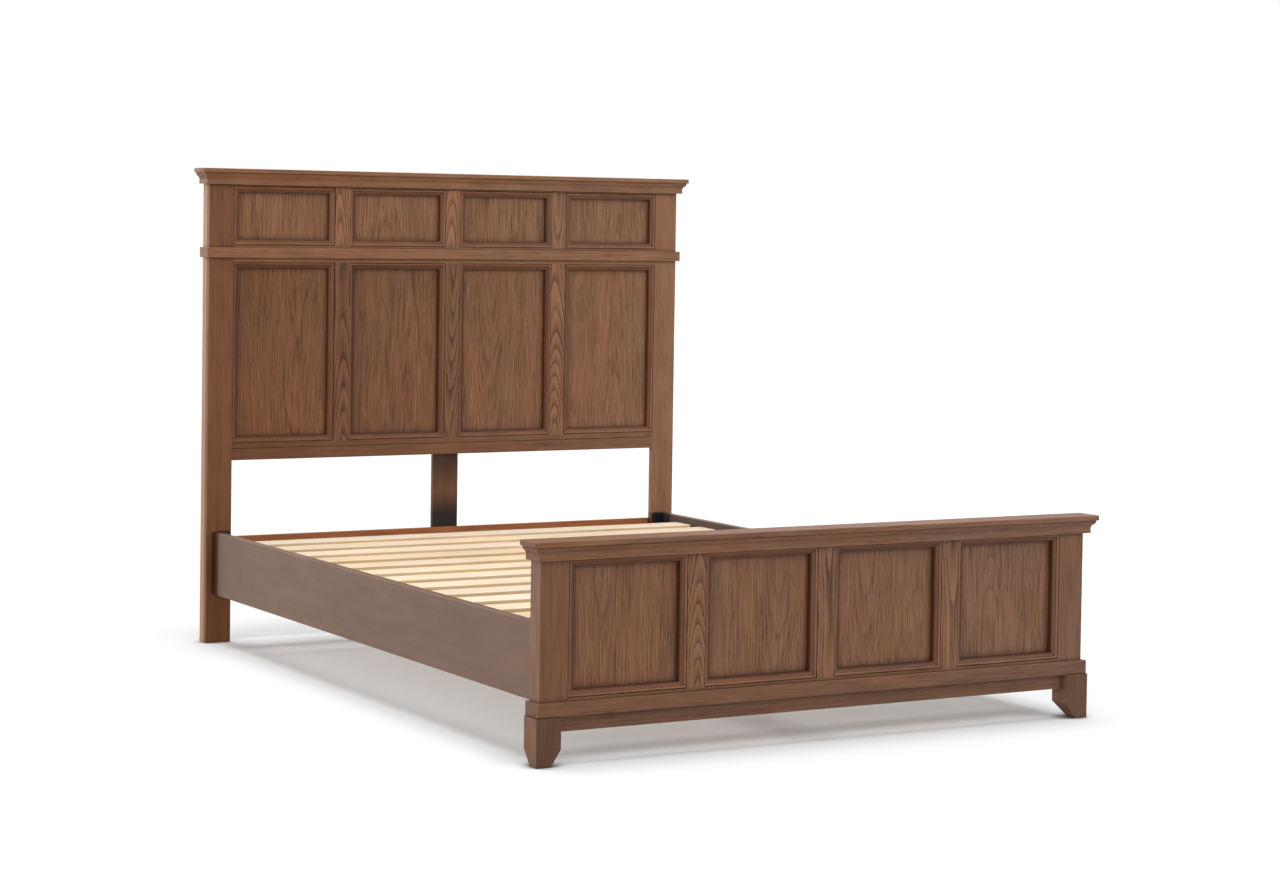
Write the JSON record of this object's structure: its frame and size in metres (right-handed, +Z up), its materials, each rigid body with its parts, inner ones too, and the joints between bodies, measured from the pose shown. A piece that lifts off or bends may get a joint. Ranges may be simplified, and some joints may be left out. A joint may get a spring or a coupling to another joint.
{
  "type": "panel bed",
  "caption": "Panel bed with a tall panelled headboard, low panelled footboard, moulded crowns, side rails and a slatted base.",
  "frame": {"origin": "on the floor under the middle of the bed's bounding box", "axes": "+Z up, +Y from the footboard to the headboard, +X to the right seen from the foot"},
  "size_m": [1.678, 2.21, 1.425],
  "materials": {
    "oak_frame": "stained oak, satin",
    "oak_panels": "stained oak veneer, satin",
    "oak_mouldings": "stained oak, satin",
    "oak_side_rail": "stained oak, satin",
    "oak_cross_rail": "stained wood, satin",
    "oak_centre_leg": "dark stained wood, satin",
    "pine_slats": "planed pine, bare",
    "pine_support": "planed pine, bare",
    "black_steel": "black powder coat, matte",
    "fastener_steel": "zinc-plated steel",
    "glide_plastic": "black plastic, matte"
  },
  "bodies": {
    "root": {"bracket_bolts": "fastener_steel", "centre_beam": "pine_support", "footboard_apron": "oak_frame", "footboard_belt": "oak_mouldings", "footboard_bottom_rail": "oak_frame", "footboard_brackets": "black_steel", "footboard_cross_rail": "pine_support", "footboard_crown_cap": "oak_mouldings", "footboard_crown_moulding": "oak_mouldings", "footboard_foot_left": "oak_frame", "footboard_foot_right": "oak_frame", "footboard_mouldings": "oak_mouldings", "footboard_muntin_1": "oak_frame", "footboard_muntin_2": "oak_frame", "footboard_muntin_3": "oak_frame", "footboard_panel_1": "oak_panels", "footboard_panel_2": "oak_panels", "footboard_panel_3": "oak_panels", "footboard_panel_4": "oak_panels", "footboard_post_left": "oak_frame", "footboard_post_right": "oak_frame", "footboard_top_rail": "oak_frame", "headboard_belt": "oak_mouldings", "headboard_bottom_rail": "oak_frame", "headboard_brackets": "black_steel", "headboard_centre_leg": "oak_centre_leg", "headboard_cross_rail": "oak_cross_rail", "headboard_crown_cap": "oak_mouldings", "headboard_crown_moulding": "oak_mouldings", "headboard_lower_mouldings": "oak_mouldings", "headboard_lower_muntin_1": "oak_frame", "headboard_lower_muntin_2": "oak_frame", "headboard_lower_muntin_3": "oak_frame", "headboard_lower_panel_1": "oak_panels", "headboard_lower_panel_2": "oak_panels", "headboard_lower_panel_3": "oak_panels", "headboard_lower_panel_4": "oak_panels", "headboard_middle_rail": "oak_frame", "headboard_post_left": "oak_frame", "headboard_post_right": "oak_frame", "headboard_post_side_left": "oak_frame", "headboard_post_side_right": "oak_frame", "headboard_top_rail": "oak_frame", "headboard_upper_mouldings": "oak_mouldings", "headboard_upper_muntin_1": "oak_frame", "headboard_upper_muntin_2": "oak_frame", "headboard_upper_muntin_3": "oak_frame", "headboard_upper_panel_1": "oak_panels", "headboard_upper_panel_2": "oak_panels", "headboard_upper_panel_3": "oak_panels", "headboard_upper_panel_4": "oak_panels", "side_rail_left": "oak_side_rail", "side_rail_right": "oak_side_rail", "slat_cleat_left": "pine_support", "slat_cleat_right": "pine_support", "slat_screws": "fastener_steel", "slats": "pine_slats", "support_leg_1": "pine_support", "support_leg_2": "pine_support", "support_leg_glides": "glide_plastic"}
  },
  "joints": []
}
